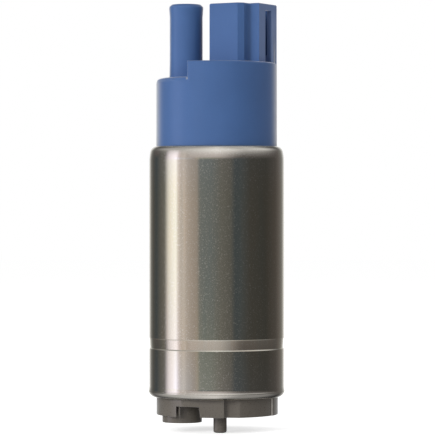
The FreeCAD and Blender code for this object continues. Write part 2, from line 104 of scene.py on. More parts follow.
def place(name, description, value):
    """A place in metres."""
    return bpy.props.FloatVectorProperty(
        name=name, description=description, default=value, size=3, subtype="TRANSLATION", unit="LENGTH")


def colour(name, description, value):
    """A colour's red, green and blue, each from 0 to 1."""
    return bpy.props.FloatVectorProperty(
        name=name, description=description, default=value, size=3, subtype="COLOR", min=0, max=1)


# Sizes and colours that a user may change

class ShellSizes(bpy.types.PropertyGroup):
    """Sizes of the rolled steel shell."""

    burr: length("Burr", "How far the foot roll stands proud of the tube", 0.25 * MM)
    wall: length("Wall", "Thickness of the steel", 1.4 * MM)
    foot_roll: length("Foot roll", "Radius of the rolled foot", 2.05 * MM)
    foot_lip: length("Foot lip", "Inner radius of the foot's lip", 17.3 * MM)
    foot_shelf: length("Foot shelf", "Thickness of the foot's lip", 1.2 * MM)
    foot_flare: length("Foot flare", "Height over which the tube flares out to the foot roll", 1.3 * MM)
    top_lip: length("Top lip", "Inner radius of the top's lip", 17.15 * MM)
    top_lead: length("Top lead", "Radius of the slow curve below the top roll", 13 * MM)
    top_tilt: slant("Top tilt", "Lean at which the slow curve meets the top roll", 12)
    band_rise: length("Band rise", "Height of the turned band above the shell's foot", 13.6 * MM)
    band_height: length("Band height", "Height of the turned band", 3.1 * MM)
    band_depth: length("Band depth", "How deep the band is turned into the tube", 0.12 * MM)
    band_lean: length("Band lean", "How much deeper the band is at its foot", 0.14 * MM)
    band_slope: length("Band slope", "Height of the sloped edge above and below the band", 0.3 * MM)
    steps: count("Steps", "Facets round the tube", 240, 48)


class CoverSizes(bpy.types.PropertyGroup):
    """Sizes of the moulded covers' edges, lug and latch."""

    cap_edge: length("Cap edge", "Rounding of the blue cap's corners", 0.14 * MM)
    inlet_edge: length("Inlet edge", "Rounding of the grey cover's corners", 0.16 * MM)
    step_corner: length("Step corner", "Rounding of the upright corners of the cap's step", 0.6 * MM)
    latch_bearing: slant("Latch bearing", "Direction that the latch's face looks in, from the X axis", -30)
    latch_root: length("Latch root", "Distance of the latch block's root from the pump's axis", 12 * MM)
    latch_low: length("Latch low", "Height at which the tower's latch block begins", 104.5 * MM)
    slot_middle: length("Slot middle", "How far the latch's slot lies beside the pump's axis", 3.4 * MM)
    slot_width: length("Slot width", "Width of the latch's slot", 3.2 * MM)
    pin_end: length("Pin end", "Rounding of the locating pin's end", 0.6 * MM)
    lug_reach: length("Lug reach", "Radius of the lug on the grey cover's side", 17.28 * MM)
    lug_slope: slant("Lug slope", "Turn by which the lug's sloped ends are stood upright", 1)
    sharp_angle: slant("Sharp angle", "Corners that turn by more than this are rounded", 20)


class SpringSizes(bpy.types.PropertyGroup):
    """Sizes of the coiled springs."""

    brush_wire: length("Brush spring wire", "Thickness of the brush springs' wire", 0.35 * MM)
    brush_turns: count("Brush spring turns", "Open turns of each brush spring", 5, 1)
    valve_wire: length("Valve spring wire", "Thickness of the valve spring's wire", 0.4 * MM)
    valve_turns: count("Valve spring turns", "Open turns of the valve spring", 4, 1)
    travel: length("Travel", "How far a brush or the valve moves against its spring", 2 * MM)


class FinishColours(bpy.types.PropertyGroup):
    """Colours of the pump's finishes."""

    steel: colour("Steel", "Plated steel of the shell", (0.61, 0.55, 0.43))
    steel_cool: colour("Cool steel", "Green-grey streaks in the plating", (0.54, 0.54, 0.45))
    steel_end: colour("Steel ends", "Tone of the plating near both ends", (0.6, 0.57, 0.485))
    steel_glint: colour("Steel glints", "Bright specks in the plating", (0.8, 0.78, 0.71))
    cap_blue: colour("Cap blue", "Blue plastic of the outlet cap", (0.054, 0.126, 0.31))
    # The latch blue is a paler copy of the cap blue: painted light, standing in for light that falls on the
    # latch from the right.
    painted_latch_blue: colour("Rubbed blue", "Latch face of the blue cap's tower, rubbed pale", (0.13, 0.2, 0.39))
    # A pale sheen painted into the blue's colour where its upright walls turn out of sight.
    painted_sheen_tint: colour("Pale rim", "Sheen of the blue plastic where it turns out of sight", (0.8, 0.8, 0.8))
    cover_grey: colour("Cover grey", "Grey plastic of the inlet cover", (0.135, 0.12, 0.1))
    # The lug's ends are painted a pale grey: a painted highlight along the lug's edges.
    painted_highlight_grey: colour("Scuffed grey", "Rubbed ends of the grey cover's lug", (0.8, 0.75, 0.69))
    copper: colour("Copper", "Bare copper", (0.72, 0.34, 0.2))
    bronze: colour("Bronze", "Sintered bronze", (0.42, 0.27, 0.13))
    tin: colour("Tin", "Tinned brass of the blades", (0.6, 0.55, 0.42))
    bright_steel: colour("Bright steel", "Ground shaft and spring wire", (0.58, 0.58, 0.6))
    lamination: colour("Lamination", "Stacked core plates", (0.26, 0.27, 0.3))
    ferrite: colour("Ferrite", "Pressed ferrite magnets", (0.045, 0.045, 0.05))
    carbon: colour("Carbon", "Carbon brushes", (0.03, 0.03, 0.032))
    phenolic: colour("Phenolic", "Brown moulding of the impeller", (0.07, 0.042, 0.025))
    natural: colour("Natural", "Uncoloured plastic of the valve", (0.6, 0.56, 0.47))


class StageSizes(bpy.types.PropertyGroup):
    """Camera, lamp, card and floor settings."""

    camera_reach: length("Camera reach", "Distance from the pump's axis to the camera", 0.75)
    camera_side: length("Camera side", "How far the camera stands to the right of the axis", 0.25 * MM)
    camera_height: length("Camera height", "Height of the level camera", 59.9 * MM)
    lens: bpy.props.FloatProperty(
        name="Lens", description="Focal length in millimetres", default=220.0, unit="CAMERA")
    key_watts: power("Key lamp", "Power of the key lamp in front, at the left", 5.0)
    key_width: length("Key width", "Width of the key lamp", 0.45)
    key_place: place("Key place", "Where the key lamp stands", (-0.53, -0.73, 0.35))
    rim_watts: power("Rim lamps", "Power of each lamp behind, left and right", 1.1)
    rim_width: length("Rim width", "Width of each lamp behind", 0.3)
    rim_place: place("Rim place", "Where the right one of the lamps behind stands", (0.6, 0.36, 0.4))
    sky: bpy.props.FloatProperty(name="Sky", description="Plain light from all round", default=0.38)
    card_radius: length("Card radius", "Distance of the cards that the metal mirrors", 2.4)
    card_centre: length("Card centre", "Height of the cards' middle", 60 * MM)
    floor_radius: length("Floor radius", "Radius of the pale floor", 3.0)
    floor_tone: colour("Floor tone", "Pale floor", (0.85, 0.85, 0.85))
    floor_glow: bpy.props.FloatProperty(
        name="Floor glow", description="Light added to the floor to show it white", default=0.67)


class FuelPumpSettings(bpy.types.PropertyGroup):
    """All settings of the fuel pump."""

    shell: bpy.props.PointerProperty(name="Shell", description="Shell sizes", type=ShellSizes)
    covers: bpy.props.PointerProperty(name="Covers", description="Cover sizes", type=CoverSizes)
    springs: bpy.props.PointerProperty(name="Springs", description="Spring sizes", type=SpringSizes)
    colours: bpy.props.PointerProperty(name="Colours", description="Finish colours", type=FinishColours)
    stage: bpy.props.PointerProperty(name="Stage", description="Stage settings", type=StageSizes)


# Materials

class Shade:
    """A value in a material, on which Python's own operators add Math nodes."""

    def __init__(self, finish, socket):
        self.finish = finish
        self.socket = socket

    def math(self, operation, *values):
        """Add a Math node."""
        return self.finish.node("ShaderNodeMath", {"operation": operation}, dict(enumerate(values)))

    def __add__(self, other):
        return self.math("ADD", self, other)

    def __radd__(self, other):
        return self.math("ADD", other, self)

    def __sub__(self, other):
        return self.math("SUBTRACT", self, other)

    def __rsub__(self, other):
        return self.math("SUBTRACT", other, self)

    def __mul__(self, other):
        return self.math("MULTIPLY", self, other)

    def __rmul__(self, other):
        return self.math("MULTIPLY", other, self)

    def __truediv__(self, other):
        return self.math("DIVIDE", self, other)

    def __rtruediv__(self, other):
        return self.math("DIVIDE", other, self)

    def __abs__(self):
        return self.math("ABSOLUTE", self)

    def between(self, low, high):
        """0 below low and 1 above high, with a smooth rise in between."""
        return self.finish.node(
            "ShaderNodeMapRange", {"interpolation_type": "SMOOTHSTEP"},
            {"Value": self, "From Min": low, "From Max": high})

    def within(self, begin, low, high, end):
        """1 from low to high, with a smooth fall to 0 at begin and at end."""
        return self.between(begin, low) * (1 - self.between(high, end))

    def bearing(self, other):
        """The angle in degrees whose sine and cosine go as this value and the other."""
        return self.math("ARCTAN2", self, other) * (180 / math.pi)

    def ridges(self, pitch):
        """Smooth ridges from -1 to 1, a pitch apart along this value."""
        return self.math("SINE", self * (2 * math.pi / pitch))

    def or_else(self, other):
        """The larger of this value and the other."""
        return self.math("MAXIMUM", self, other)


# Sockets of a colour mix: its share, its two colours and its result
MIX_SHARE = 0
MIX_FIRST = 6
MIX_SECOND = 7
MIX_RESULT = 2


class Finish:
    """A material, or the world, in the making, with its nodes and links."""

    def __init__(self, owner, surface="ShaderNodeBsdfPrincipled", end="ShaderNodeOutputMaterial"):
        owner.use_nodes = True
        self.owner = owner
        self.tree = owner.node_tree
        self.tree.nodes.clear()
        shader = self.node(surface)
        self.shader = shader.socket.node
        self.node(end, inputs={"Surface": shader})

    def feed(self, socket, value):
        """Link a value to a socket, or set the socket to a plain number or colour."""
        if isinstance(value, Shade):
            self.tree.links.new(value.socket, socket)
        elif socket.type == "RGBA":
            socket.default_value = (*value, 1.0)
        else:
            socket.default_value = value

    def node(self, kind, settings=None, inputs=None, output=0):
        """Add a node: its settings first, then the values or links of its sockets."""
        made = self.tree.nodes.new(kind)
        for name, value in (settings or {}).items():
            if name == "stops":
                ramp = made.color_ramp
                while len(ramp.elements) < len(value):
                    ramp.elements.new(1.0)
                for element, (position, tint) in zip(ramp.elements, value):
                    element.position = position
                    element.color = (*tint, 1.0)
            else:
                setattr(made, name, value)
        for name, value in (inputs or {}).items():
            self.feed(made.inputs[name], value)
        return Shade(self, made.outputs[output]) if len(made.outputs) else None

    def set(self, **values):
        """Set the shader's own sockets, named with _ for a space."""
        for name, value in values.items():
            self.feed(self.shader.inputs[name.replace("_", " ")], value)

    def where(self):
        """The place on the object."""
        return self.node("ShaderNodeTexCoord", output="Object")

    def parts(self):
        """The place's X, Y and Z."""
        split = self.node("ShaderNodeSeparateXYZ", inputs={0: self.where()})
        return [Shade(self, socket) for socket in split.socket.node.outputs]

    def noise(self, size, detail=3.0, roughness=0.6, stretch=(1, 1, 1)):
        """Noise from 0 to 1, whose patches are about the given size in metres."""
        drawn = self.node("ShaderNodeMapping", inputs={"Vector": self.where(), "Scale": stretch})
        return self.node(
            "ShaderNodeTexNoise", inputs={
                "Vector": drawn, "Scale": 1 / size, "Detail": detail, "Roughness": roughness})

    def blend(self, share, first, second, way="MIX"):
        """The first colour, with a share of the second mixed in."""
        return self.node(
            "ShaderNodeMix", {"data_type": "RGBA", "blend_type": way},
            {MIX_SHARE: share, MIX_FIRST: first, MIX_SECOND: second}, MIX_RESULT)

    def shaded(self, tint, amount):
        """A colour made lighter or darker by an amount about 1."""
        return self.node(
            "ShaderNodeVectorMath", {"operation": "SCALE"}, {0: tuple(tint), "Scale": amount})

    def bump(self, height, distance, strength):
        """A surface that rises and falls by a distance in metres."""
        return self.node(
            "ShaderNodeBump", inputs={"Height": height, "Distance": distance, "Strength": strength})

    def seen(self):
        """1 where the eye sees a surface, also in a mirror or through glass, and 0 where it only lights."""
        seen = self.node("ShaderNodeLightPath", output="Is Camera Ray")
        for ray in ("Is Glossy Ray", "Is Transmission Ray"):
            seen = seen.or_else(self.node("ShaderNodeLightPath", output=ray))
        return seen


# Stretches of a noise along Z: drawn out upright, or drawn tight
LONG_STREAKS = (1, 1, 0.08)
LONG_MARKS = (1, 1, 0.06)
ROLLED_MARKS = (1, 1, 0.2)
TURNED_MARKS = (1, 1, 8)
GROUND_MARKS = (1, 1, 12)


def plated_steel(colours):
    """Plated and drawn steel: upright tone streaks, greyer ends, fine drawing marks and specks."""
    finish = Finish(bpy.data.materials.new("plated_steel"))
    z = finish.parts()[2]
    middle = (shell_box[0].z + shell_box[1].z) / 2
    half = (shell_box[1].z - shell_box[0].z) / 2
    ends = (abs(z - middle) / half).between(0.55, 0.95)
    streaks = finish.noise(5 * MM, stretch=LONG_STREAKS).between(0.4, 0.62)
    clouds = finish.noise(12 * MM, roughness=0.55).between(0.35, 0.7)
    marks = finish.noise(0.9 * MM, stretch=LONG_MARKS)
    specks = finish.noise(0.42 * MM, detail=2.0, roughness=0.7)
    glints = specks.between(0.52, 0.7)
    tint = finish.blend(streaks * 0.5 + clouds * 0.2, colours.steel, colours.steel_cool)
    tint = finish.blend(ends, tint, colours.steel_end)
    tint = finish.blend(glints * 0.3, tint, colours.steel_glint)
    finish.set(
        Base_Color=tint,
        Metallic=1.0,
        Roughness=0.09 + marks * 0.05 + glints * 0.11,
        Normal=finish.bump(marks * 0.4 + specks * 0.6, 0.005 * MM, 0.35))
    return finish.owner


# Most of the plastic's own colour that its painted pale sheen covers
RIM_COVER = 0.55


def share_of_painted_sheen(finish):
    """The share of pale sheen painted into moulded plastic's colour: on upright walls, where they turn out of
    sight.
    """
    turned_away = finish.node("ShaderNodeLayerWeight", output="Facing").between(0.5, 1.0)
    normal = finish.node("ShaderNodeNewGeometry", output="Normal")
    tilt = abs(finish.node("ShaderNodeSeparateXYZ", inputs={0: normal}, output="Z"))
    return turned_away * (1 - tilt.between(0.1, 0.5)) * RIM_COVER


def moulded_plastic(name, tint, roughness, rim=None):
    """Matt moulded plastic: a fine spark-eroded grain, slight flow clouds and, if asked for, a pale sheen
    painted at its rim.
    """
    finish = Finish(bpy.data.materials.new(name))
    clouds = finish.noise(9 * MM, detail=2.0, roughness=0.5)
    grain = finish.noise(0.4 * MM, detail=2.0, roughness=0.65)
    skin = finish.shaded(tint, 0.88 + clouds * 0.16 + grain * 0.1)
    # The rim colour is a painted sheen, mixed in where the walls turn out of sight.
    if rim:
        skin = finish.blend(share_of_painted_sheen(finish), skin, rim)
    finish.set(
        Base_Color=skin,
        Roughness=roughness - 0.06 + grain * 0.14,
        Sheen_Weight=1.0,
        Sheen_Roughness=0.3,
        Normal=finish.bump(grain, 0.02 * MM, 0.5))
    return finish.owner


def bare_metal(name, tint, roughness, stains=0.3, grain=0.5 * MM, stretch=(1, 1, 1)):
    """Bare metal with faint stains and a fine grain."""
    finish = Finish(bpy.data.materials.new(name))
    patches = finish.noise(4 * MM)
    fine = finish.noise(grain, detail=2.0, stretch=stretch)
    finish.set(
        Base_Color=finish.shaded(tint, 1.1 - patches * stains),
        Metallic=1.0,
        Roughness=roughness + patches * 0.12,
        Normal=finish.bump(fine, 0.01 * MM, 0.4))
    return finish.owner


def stacked_plates(name, tint, pitch=0.5 * MM):
    """A core of thin plates, whose edges show as fine level lines."""
    finish = Finish(bpy.data.materials.new(name))
    lines = finish.parts()[2].ridges(pitch)
    stains = finish.noise(3 * MM)
    finish.set(
        Base_Color=finish.shaded(tint, 0.85 + lines * 0.12 + stains * 0.25),
        Metallic=0.9,
        Roughness=0.35 + stains * 0.2,
        Normal=finish.bump(lines, 0.04 * MM, 0.6))
    return finish.owner


def wound_copper(name, tint, wire=0.5 * MM, lean=0.3):
    """Enamelled copper whose ridges, a wire apart and a little off level, are its wires."""
    finish = Finish(bpy.data.materials.new(name))
    x, y, z = finish.parts()
    wires = (z + x * lean + y * lean).ridges(wire)
    stains = finish.noise(2 * MM)
    # The colour is lighter on each wire and darker in the creases between them, as painted shade; the stains
    # are the copper's own.
    finish.set(
        Base_Color=finish.shaded(tint, 0.8 + wires * 0.15 + stains * 0.3),
        Metallic=0.85,
        Roughness=0.25 + stains * 0.2,
        Coat_Weight=0.4,
        Normal=finish.bump(wires, 0.12 * MM, 0.8))
    return finish.owner


def pressed_powder(name, tint, roughness):
    """Pressed powder, such as ferrite or carbon: dull, with pores and pale specks."""
    finish = Finish(bpy.data.materials.new(name))
    pores = finish.noise(0.25 * MM, roughness=0.7)
    specks = pores.between(0.6, 0.75)
    finish.set(
        Base_Color=finish.shaded(tint, 0.8 + pores * 0.4 + specks * 0.7),
        Roughness=roughness + pores * 0.1,
        Normal=finish.bump(pores, 0.03 * MM, 0.7))
    return finish.owner


def dress(material, *nodes):
    """Give CAD nodes a finish."""
    for node in nodes:
        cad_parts[node].material_slots[0].material = material


# Meshes

# Corners nearer than this are one, in a new mesh and in a copy of a CAD node's
SEAM = 0.001 * MM
CAD_SEAM = 0.002 * MM

# Triangles of a CAD node that turn by less than this lie in one face
FLAT_ANGLE = math.radians(0.4)

# Faces that turn by less than this are shaded as one
SOFT_ANGLE = math.radians(40)

# Sides of a spring's wire, and steps in one turn of it
WIRE_SIDES = 10
TURN_STEPS = 24

# Facets of a rounded edge, of the cap's step and of the locating pin's end
EDGE_FACETS = 2
STEP_FACETS = 5
PIN_FACETS = 4


def needed(found, what):
    """Pass on what was looked for, or stop the script where it is missing."""
    if not found:
        raise RuntimeError("There is no " + what)
    return found


def arc(centre_r, centre_z, radius, from_angle, to_angle, steps):
    """Corners (r, z) round a bend of an outline, with angles in degrees."""
    corners = []
    for number in range(steps + 1):
        angle = math.radians(from_angle + (to_angle - from_angle) * number / steps)
        corners.append((centre_r + radius * math.cos(angle), centre_z + radius * math.sin(angle)))
    return corners


def turned(outline, steps):
    """Turn a closed outline of (r, z) corners about the Z axis."""
    bm = bmesh.new()
    corners = [bm.verts.new((r, 0, z)) for r, z in outline]
    sides = [bm.edges.new(pair) for pair in zip(corners, corners[1:] + corners[:1])]
    bmesh.ops.spin(
        bm, geom=corners + sides, cent=(0, 0, 0), axis=(0, 0, 1), dvec=(0, 0, 0),
        angle=2 * math.pi, steps=steps, use_merge=True, use_duplicate=False)
    bmesh.ops.remove_doubles(bm, verts=bm.verts, dist=SEAM)
    bmesh.ops.recalc_face_normals(bm, faces=bm.faces)
    return bm


def coiled(radius, wire, turns, low, high):
    """Coil a round wire upwards between two heights, with a closed turn at each end."""
    upright = Matrix.Rotation(math.radians(90), 3, "X")
    # Each closed turn climbs by the wire's thickness, and the wire itself stands as high once more
    open_climb = high - low - 3 * wire
    bm = bmesh.new()
    bmesh.ops.create_circle(bm, cap_ends=False, radius=wire / 2, segments=WIRE_SIDES)
    bmesh.ops.rotate(bm, cent=(0, 0, 0), matrix=upright, verts=bm.verts)
    bmesh.ops.translate(bm, vec=(radius, 0, low + wire / 2), verts=bm.verts)
    end = bm.verts[:] + bm.edges[:]
    for laps, climb in ((1, wire), (turns, open_climb), (1, wire)):
        steps = TURN_STEPS * laps
        end = bmesh.ops.spin(
            bm, geom=end, cent=(0, 0, 0), axis=(0, 0, 1), dvec=(0, 0, climb / steps),
            angle=2 * math.pi * laps, steps=steps, use_duplicate=False)["geom_last"]
    bmesh.ops.holes_fill(bm, edges=[edge for edge in bm.edges if edge.is_boundary], sides=0)
    bmesh.ops.recalc_face_normals(bm, faces=bm.faces)
    return bm


def merged_copy(node):
    """A copy of a CAD node's mesh, with its loose triangles joined into whole faces."""
    bm = bmesh.new()
    bm.from_mesh(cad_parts[node].data)
    bmesh.ops.remove_doubles(bm, verts=bm.verts, dist=CAD_SEAM)
    bmesh.ops.dissolve_limit(bm, angle_limit=FLAT_ANGLE, verts=bm.verts, edges=bm.edges)
    return bm


def bevelled(bm, edges, width, segments):
    """Round some edges of a mesh."""
    bmesh.ops.bevel(
        bm, geom=edges, offset=width, offset_type="OFFSET", segments=segments, profile=0.5,
        affect="EDGES", clamp_overlap=False, material=-1)


def round_corners(bm, width, sharp_angle, kept=()):
    """Round every corner of a mesh that turns by more than an angle, apart from those to be kept."""
    corners = [
        edge for edge in bm.edges
        if edge not in kept and edge.is_convex and edge.calc_face_angle(0) > sharp_angle]
    bevelled(bm, corners, width, EDGE_FACETS)


def finished(bm, name, body, materials, slot, *replaced):
    """Make a mesh into a piece that rides on a body in place of some CAD nodes."""
    mesh = bpy.data.meshes.new(name)
    bm.to_mesh(mesh)
    bm.free()
    mesh.shade_smooth()
    mesh.set_sharp_from_angle(angle=SOFT_ANGLE)
    for material in materials:
        mesh.materials.append(material)
    piece = bpy.data.objects.new(name, mesh)
    bpy.context.scene.collection.objects.link(piece)
    weighted = piece.modifiers.new("Weighted normals", "WEIGHTED_NORMAL")
    weighted.keep_sharp = True
    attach(piece, body)
    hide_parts(*replaced)
    return piece


# The shell's section

# Where the rolls begin and end, in degrees from level, and the facets of each bend
FOOT_BEGIN = -88
FOOT_END = -10
TOP_END = 80
ROLL_FACETS = 12
LEAD_FACETS = 5

# Shares of the flare's height at which it has corners
FLARE_SHARES = (0.04, 0.2, 0.4, 0.7)

# Short run beside a corner that keeps it crisp, and how far the band's edges are set in
CRISP_RUN = 0.05 * MM
EDGE_DIP = 0.01 * MM


def shell_outline(sizes):
    """The rolled shell's section: foot roll, flare, turned band, tube, top roll and inner wall."""
    low = shell_box[0].z
    high = shell_box[1].z
    outer = shell_box[1].x
    tube = outer - sizes.burr
    inner = tube - sizes.wall
    shelf = low + sizes.foot_shelf
    flange = high - sizes.wall

    roll = sizes.foot_roll
    foot = arc(outer - roll, low + roll, roll, FOOT_BEGIN, FOOT_END, ROLL_FACETS)
    flare_z = foot[-1][1]
    flare = [
        (outer - sizes.burr * share ** 0.5, flare_z + sizes.foot_flare * share) for share in FLARE_SHARES]

    band = low + sizes.band_rise
    band_top = band + sizes.band_height
    groove = tube - sizes.band_depth

    tilt = sizes.top_tilt
    end = math.radians(TOP_END)
    lead_drop = sizes.top_lead * (1 - math.cos(tilt))
    roll = (tube - lead_drop - sizes.top_lip) / (math.cos(tilt) - math.cos(end))
    roll_r = sizes.top_lip - roll * math.cos(end)
    roll_z = high - roll * math.sin(end)
    lead_z = roll_z + (roll - sizes.top_lead) * math.sin(tilt)
    degrees = math.degrees(tilt)
    lead = arc(tube - sizes.top_lead, lead_z, sizes.top_lead, 0, degrees, LEAD_FACETS)
    top = arc(roll_r, roll_z, roll, degrees, TOP_END, ROLL_FACETS)
    return [
        (sizes.foot_lip, shelf),
        (sizes.foot_lip, low + CRISP_RUN),
        *foot,
        *flare,
        (tube, flare_z + sizes.foot_flare),
        (tube, band - CRISP_RUN),
        (tube - EDGE_DIP, band),
        (groove - sizes.band_lean, band + sizes.band_slope),
        (groove, band_top - sizes.band_slope),
        (tube - EDGE_DIP, band_top),
        (tube, band_top + CRISP_RUN),
        *lead,
        *top[1:],
        (sizes.top_lip, high - CRISP_RUN),
        (sizes.top_lip, flange),
        (inner, flange),
        (inner, shelf),
    ]


# The covers' corners and faces

# Round walls of the covers as built: the radii between which their corners lie
CAP_WALL = (16.95 * MM, 17.05 * MM)
LUG_WALL = (17.1 * MM, 17.3 * MM)
SKIRT_WALL = (16.9 * MM, 17 * MM)

# Height below which corners belong to the locating pin's end
PIN_TIP = 0.1 * MM

# Least height of the cap's step
STEP_HEIGHT = MM

# Shares of the lug's slope within which a corner is at its foot, or at its crest
LUG_FOOT = 1.3
LUG_CREST = 0.1

# Share of the slot's width, to each side of its middle, within which its walls lie
SLOT_HALF = 0.52

# Parts of a face's normal: at least this much for one that looks a given way, and at most for a wall
LOOKING = 0.9
UPRIGHT = 0.5

# Slot of a cover's second finish: a paler copy of its plastic, painted light on the cap's latch and a painted
# highlight on the lug's ends
PAINTED_LIGHT_SLOT = 1


def in_wall(vert, wall):
    """Whether a corner lies in a round wall."""
    return wall[0] < vert.co.xy.length < wall[1]


def step_corners(bm):
    """The upright corners at which the cap's step leaves its round wall, at the left."""
    return needed([
        edge for edge in bm.edges
        if edge.is_convex and edge.calc_face_angle(0) > SOFT_ANGLE
        and all(in_wall(end, CAP_WALL) and end.co.x < 0 for end in edge.verts)
        and abs(edge.verts[0].co.z - edge.verts[1].co.z) > STEP_HEIGHT], "step on the outlet cap")


def latch_faces(bm, covers):
    """The outer face of the tower's latch block and the upright walls of its slot."""
    outward = Vector((math.cos(covers.latch_bearing), math.sin(covers.latch_bearing), 0))
    along = Vector((-outward.y, outward.x, 0))
    found = []
    for face in bm.faces:
        middle = face.calc_center_median()
        in_block = middle.z > covers.latch_low and middle.dot(outward) > covers.latch_root
        off_slot = abs(middle.dot(along) - covers.slot_middle)
        in_slot = off_slot < covers.slot_width * SLOT_HALF and abs(face.normal.z) < UPRIGHT
        if in_block and (in_slot or face.normal.dot(outward) > LOOKING):
            found.append(face)
    return needed(found, "latch on the outlet cap")


def pin_tip(bm):
    """The edges of the locating pin's end, at the foot of the inlet cover."""
    high = cad_box[0].z + PIN_TIP
    return needed(
        [edge for edge in bm.edges if max(end.co.z for end in edge.verts) < high], "pin on the inlet cover")


def stand_lug(bm, covers):
    """Stand the ends of the cover's raised lug upright, and list the edges that they end in."""
    def turn(vert):
        return math.atan2(vert.co.y, vert.co.x)

    lug = needed([vert for vert in bm.verts if in_wall(vert, LUG_WALL)], "lug on the inlet cover")
    skirt = [vert for vert in bm.verts if in_wall(vert, SKIRT_WALL)]
    foot_turn = covers.lug_slope * LUG_FOOT
    crest_turn = covers.lug_slope * LUG_CREST
    grown = covers.lug_reach / lug[0].co.xy.length
    bmesh.ops.scale(bm, vec=(grown, grown, 1), verts=lug)
    ends = []
    for end, side in ((min(lug, key=turn), 1), (max(lug, key=turn), -1)):
        foot = [vert for vert in skirt if 0 < (turn(end) - turn(vert)) * side < foot_turn]
        swing = Matrix.Rotation(covers.lug_slope * side, 3, "Z")
        bmesh.ops.rotate(bm, cent=(0, 0, 0), matrix=swing, verts=foot)
        crest = [vert for vert in lug if abs(turn(vert) - turn(end)) < crest_turn]
        # Faces at the lug's ends take the pale second finish, a painted highlight.
        for face in bm.faces:
            if all(vert in foot + crest for vert in face.verts):
                face.material_index = PAINTED_LIGHT_SLOT
        ends += crest
    return [edge for edge in bm.edges if all(vert in ends for vert in edge.verts)]


# Operators of the pump's pieces

class FUELPUMP_OT_shell(bpy.types.Operator):
    """Spin the rolled steel shell and give it its plated finish"""

    bl_idname = "fuelpump.shell"
    bl_label = "Steel shell"

    def execute(self, context):
        pump = context.scene.fuel_pump
        bm = turned(shell_outline(pump.shell), pump.shell.steps)
        finished(bm, "steel_shell", "pump_body", [plated_steel(pump.colours)], "shell_steel", "shell")
        return {"FINISHED"}


class FUELPUMP_OT_outlet_cap(bpy.types.Operator):
    """Round the blue cap's corners and give it its moulded finish, with a lighter copy on the latch as
    painted light
    """

    bl_idname = "fuelpump.outlet_cap"
    bl_label = "Outlet cap"

    def execute(self, context):
        pump = context.scene.fuel_pump
        colours = pump.colours
        blue = moulded_plastic("blue_plastic", colours.cap_blue, roughness=0.34, rim=colours.painted_sheen_tint)
        painted_latch_light = moulded_plastic("painted_latch_plastic", colours.painted_latch_blue, roughness=0.34)
        bm = merged_copy("outlet_cover")
        bevelled(bm, step_corners(bm), pump.covers.step_corner, STEP_FACETS)
        # The latch's faces take the lighter blue, painted light in place of light from the right.
        for face in latch_faces(bm, pump.covers):
            face.material_index = PAINTED_LIGHT_SLOT
        round_corners(bm, pump.covers.cap_edge, pump.covers.sharp_angle)
        finished(bm, "outlet_cap", "pump_body", [blue, painted_latch_light], "cap_plastic", "outlet_cover")
        return {"FINISHED"}


class FUELPUMP_OT_inlet_cover(bpy.types.Operator):
    """Round the grey cover's corners, give it and the casing their moulded finishes, and paint a pale
    highlight on the lug's ends
    """

    bl_idname = "fuelpump.inlet_cover"
    bl_label = "Inlet cover"

    def execute(self, context):
        pump = context.scene.fuel_pump
        grey = moulded_plastic("grey_plastic", pump.colours.cover_grey, roughness=0.28)
        painted_lug_highlight = moulded_plastic("painted_highlight_plastic", pump.colours.painted_highlight_grey, roughness=0.3)
        bm = merged_copy("inlet_cover")
        kept = stand_lug(bm, pump.covers)
        bevelled(bm, pin_tip(bm), pump.covers.pin_end, PIN_FACETS)
        round_corners(bm, pump.covers.inlet_edge, pump.covers.sharp_angle, kept)
        finished(bm, "inlet_skirt", "pump_body", [grey, painted_lug_highlight], "cover_plastic", "inlet_cover")
        dress(grey, "pump_casing")
        return {"FINISHED"}


class FUELPUMP_OT_rotor(bpy.types.Operator):
    """Give the rotor's shaft, core, windings, commutator and impeller their finishes"""

    bl_idname = "fuelpump.rotor"
    bl_label = "Rotor"

    def execute(self, context):
        colours = context.scene.fuel_pump.colours
        dress(bare_metal("ground_steel", colours.bright_steel, roughness=0.18, stretch=GROUND_MARKS), "shaft")
        dress(stacked_plates("core_plates", colours.lamination), "armature_core")
        dress(wound_copper("wound_copper", colours.copper), "armature_windings")
        copper = bare_metal("turned_copper", colours.copper, roughness=0.25, stretch=TURNED_MARKS)
        dress(copper, "commutator_segments")
        brown = moulded_plastic("brown_phenolic", colours.phenolic, roughness=0.5)
        dress(brown, "impeller", "commutator_hub")
        return {"FINISHED"}


class FUELPUMP_OT_motor(bpy.types.Operator):
    """Give the magnets, clips, bearings and brushes their finishes"""

    bl_idname = "fuelpump.motor"
    bl_label = "Motor"

    def execute(self, context):
        colours = context.scene.fuel_pump.colours
        dress(pressed_powder("ferrite", colours.ferrite, roughness=0.55), "magnet_left", "magnet_right")
        dress(pressed_powder("carbon", colours.carbon, roughness=0.45), "brush_front", "brush_rear")
        bronze = bare_metal("sintered_bronze", colours.bronze, roughness=0.4, grain=0.2 * MM)
        dress(bronze, "lower_bearing", "upper_bearing")
        dress(bare_metal("clip_steel", colours.bright_steel, roughness=0.3, stains=0.35), "magnet_clips")
        return {"FINISHED"}


